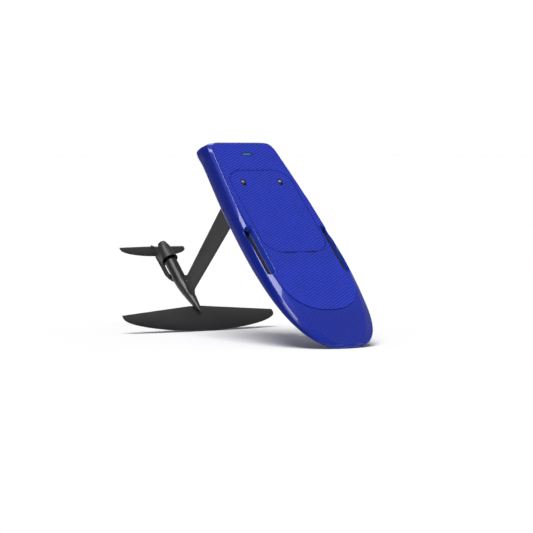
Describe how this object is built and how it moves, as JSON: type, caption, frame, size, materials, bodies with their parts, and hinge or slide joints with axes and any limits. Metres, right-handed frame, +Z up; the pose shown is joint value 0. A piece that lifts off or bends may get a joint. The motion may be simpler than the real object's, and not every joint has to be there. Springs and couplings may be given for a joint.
{
  "type": "electric hydrofoil board",
  "caption": "Electric hydrofoil board leaning on its nose and front wing: hinged battery lid, latches, mast, ducted motor pod, front wing and stabiliser.",
  "frame": {"origin": "on the floor, in the middle of the leaning board and foil seen from above", "axes": "+Z up from the floor, +X horizontally from the foil towards the nose of the board, +Y to port, along the span of the wings"},
  "size_m": [1.9463, 0.97, 1.0292],
  "materials": {
    "hull_blue": "gloss lacquer",
    "deck_blue": "gloss lacquer with a faint hexagon weave",
    "pad_blue": "matte closed-cell foam, grooved",
    "foam": "white bead foam",
    "black_foil": "satin black carbon fibre",
    "black_alu": "black anodised",
    "black_plastic": "moulded, fine grain",
    "grey_plastic": "moulded, satin",
    "cup_blue": "smooth moulded",
    "rubber_black": "matte",
    "steel": "brushed stainless",
    "lens": "translucent light lens",
    "battery_case": "moulded case",
    "alu": "machined",
    "block": "dense board, sealed",
    "copper": "wound copper on laminations",
    "cable_red": "insulated lead"
  },
  "bodies": {
    "root": {"hull_shell": "hull_blue", "deck_shell": "deck_blue", "foam_core": "foam", "deck_pad": "pad_blue", "lid_seal": "rubber_black", "hinge_deck_leaves": "steel", "hinge_pins": "steel", "hold_down_bar": "black_alu", "handle_cup_left": "cup_blue", "handle_cup_right": "cup_blue", "light_housing": "black_plastic", "light_lens": "lens", "bay_tub": "black_plastic", "battery_pack": "battery_case", "speed_controller": "alu", "power_lead": "cable_red", "cable_gland": "black_plastic", "mast_block": "block", "threaded_inserts": "steel", "mast_plate": "black_alu", "mast_bolts": "steel", "mast": "black_alu", "mast_head_screws": "steel", "phase_cable": "rubber_black", "mast_saddle": "black_plastic", "saddle_bolts": "steel", "fuselage_nose": "black_foil", "motor_housing": "black_alu", "front_cover": "alu", "rear_cover": "black_alu", "motor_stator": "copper", "bearings": "steel", "shaft_seal": "rubber_black", "intake_struts": "black_plastic", "duct_shroud": "black_plastic", "guide_vanes": "black_plastic", "nozzle": "black_plastic", "front_wing": "black_foil", "wing_bolts": "steel", "tail_fin": "black_foil", "fin_screws": "steel", "stabiliser": "black_foil", "stabiliser_bolts": "steel"},
    "lid": {"battery_lid": "hull_blue", "lid_pad": "pad_blue", "hinge_lid_leaves": "steel", "latch_cups": "black_plastic", "latch_pins": "steel"},
    "left_latch": {"latch_lever_left": "grey_plastic"},
    "right_latch": {"latch_lever_right": "grey_plastic"},
    "drive": {"motor_rotor": "steel", "drive_shaft": "steel", "impeller": "black_plastic", "spinner": "black_plastic"}
  },
  "joints": [
    {"name": "lid_hinge", "type": "hinge", "parent": "root", "child": "lid", "pos_m": [0.52575, 0, 0.4635], "axis": [0, 1, 0], "range_deg": [0, 95]},
    {"name": "left_latch_lift", "type": "hinge", "parent": "lid", "child": "left_latch", "pos_m": [0.15909, 0.116, 0.82231], "axis": [0, -1, 0], "range_deg": [0, 50]},
    {"name": "right_latch_lift", "type": "hinge", "parent": "lid", "child": "right_latch", "pos_m": [0.15909, -0.116, 0.82231], "axis": [0, -1, 0], "range_deg": [0, 50]},
    {"name": "impeller_spin", "type": "hinge", "parent": "root", "child": "drive", "pos_m": [-0.79708, 0, 0.40789], "axis": [0.7092, 0, -0.705], "continuous": true}
  ]
}
